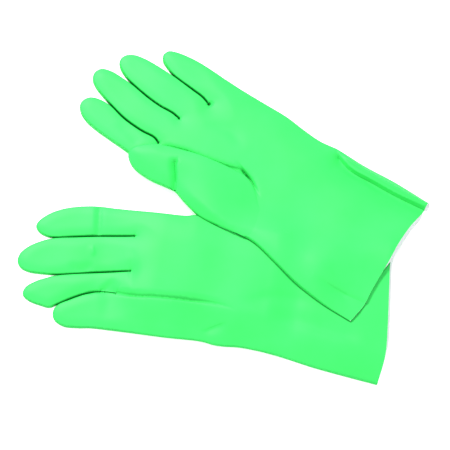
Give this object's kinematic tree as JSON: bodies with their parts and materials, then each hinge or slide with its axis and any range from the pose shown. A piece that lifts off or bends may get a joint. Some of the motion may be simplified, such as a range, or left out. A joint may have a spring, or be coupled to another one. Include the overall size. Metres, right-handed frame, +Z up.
{
  "type": "pair of rubber gloves",
  "caption": "Pair of long-cuffed, cotton-flocked household rubber gloves in bright green, lying one across the other, with digits that bend.",
  "frame": {"origin": "middle of the pair's footprint, on the surface it lies on", "axes": "+Z up, the pair's thin direction; +X from the fingertips towards the cuffs, the pair's longest extent"},
  "size_m": [0.3741, 0.3213, 0.0332],
  "materials": {
    "rubber": "satin",
    "flock": "matte, short cotton flock"
  },
  "bodies": {
    "right_hand": {"right_hand": "rubber", "right_lining": "flock"},
    "right_index": {"right_index": "rubber"},
    "right_middle": {"right_middle": "rubber"},
    "right_ring": {"right_ring": "rubber"},
    "right_little": {"right_little": "rubber"},
    "right_thumb": {"right_thumb": "rubber"},
    "left_hand": {"left_hand": "rubber", "left_lining": "flock", "left_index_base": "rubber"},
    "left_index": {"left_index": "rubber"},
    "left_middle": {"left_middle": "rubber"},
    "left_ring": {"left_ring": "rubber"},
    "left_little": {"left_little": "rubber"},
    "left_thumb": {"left_thumb": "rubber"}
  },
  "joints": [
    {"name": "right_index_bend", "type": "hinge", "parent": "right_hand", "child": "right_index", "pos_m": [-0.07461, -0.01262, 0.014], "axis": [0.1736, 0.9848, 0], "range_deg": [0, 75], "stiffness_Nm_per_rad": 0.02},
    {"name": "right_middle_bend", "type": "hinge", "parent": "right_hand", "child": "right_middle", "pos_m": [-0.07948, -0.04024, 0.014], "axis": [0.1736, 0.9848, 0], "range_deg": [0, 75], "stiffness_Nm_per_rad": 0.02},
    {"name": "right_ring_bend", "type": "hinge", "parent": "right_hand", "child": "right_ring", "pos_m": [-0.08414, -0.06663, 0.014], "axis": [0.1736, 0.9848, 0], "range_deg": [0, 75], "stiffness_Nm_per_rad": 0.02},
    {"name": "right_little_bend", "type": "hinge", "parent": "right_hand", "child": "right_little", "pos_m": [-0.089, -0.09421, 0.014], "axis": [0.1736, 0.9848, 0], "range_deg": [0, 75], "stiffness_Nm_per_rad": 0.02},
    {"name": "right_thumb_swing", "type": "hinge", "parent": "right_hand", "child": "right_thumb", "pos_m": [0.02002, -0.03453, 0.0028], "axis": [0, 0, -1], "range_deg": [0, 50], "stiffness_Nm_per_rad": 0.02},
    {"name": "left_glove_lift", "type": "slide", "parent": "right_hand", "child": "left_hand", "axis": [0, 0, 1], "range_m": [0, 0.25]},
    {"name": "left_index_bend", "type": "hinge", "parent": "left_hand", "child": "left_index", "pos_m": [-0.08429, 0.06864, 0.0103], "axis": [0.6018, 0.7986, 0], "range_deg": [0, 75], "stiffness_Nm_per_rad": 0.02},
    {"name": "left_middle_bend", "type": "hinge", "parent": "left_hand", "child": "left_middle", "pos_m": [-0.04923, 0.07654, 0.00903], "axis": [0.7594, 0.6507, 0], "range_deg": [0, 75], "stiffness_Nm_per_rad": 0.02},
    {"name": "left_ring_bend", "type": "hinge", "parent": "left_hand", "child": "left_ring", "pos_m": [-0.02595, 0.09649, 0.009], "axis": [0.7594, 0.6507, 0], "range_deg": [0, 75], "stiffness_Nm_per_rad": 0.02},
    {"name": "left_little_bend", "type": "hinge", "parent": "left_hand", "child": "left_little", "pos_m": [-0.00313, 0.11604, 0.009], "axis": [0.7594, 0.6507, 0], "range_deg": [0, 75], "stiffness_Nm_per_rad": 0.02},
    {"name": "left_thumb_bend", "type": "hinge", "parent": "left_hand", "child": "left_thumb", "pos_m": [0.00454, 0.00872, 0.0245], "axis": [0.5339, 0.8215, -0.2002], "range_deg": [0, 70], "stiffness_Nm_per_rad": 0.02}
  ]
}
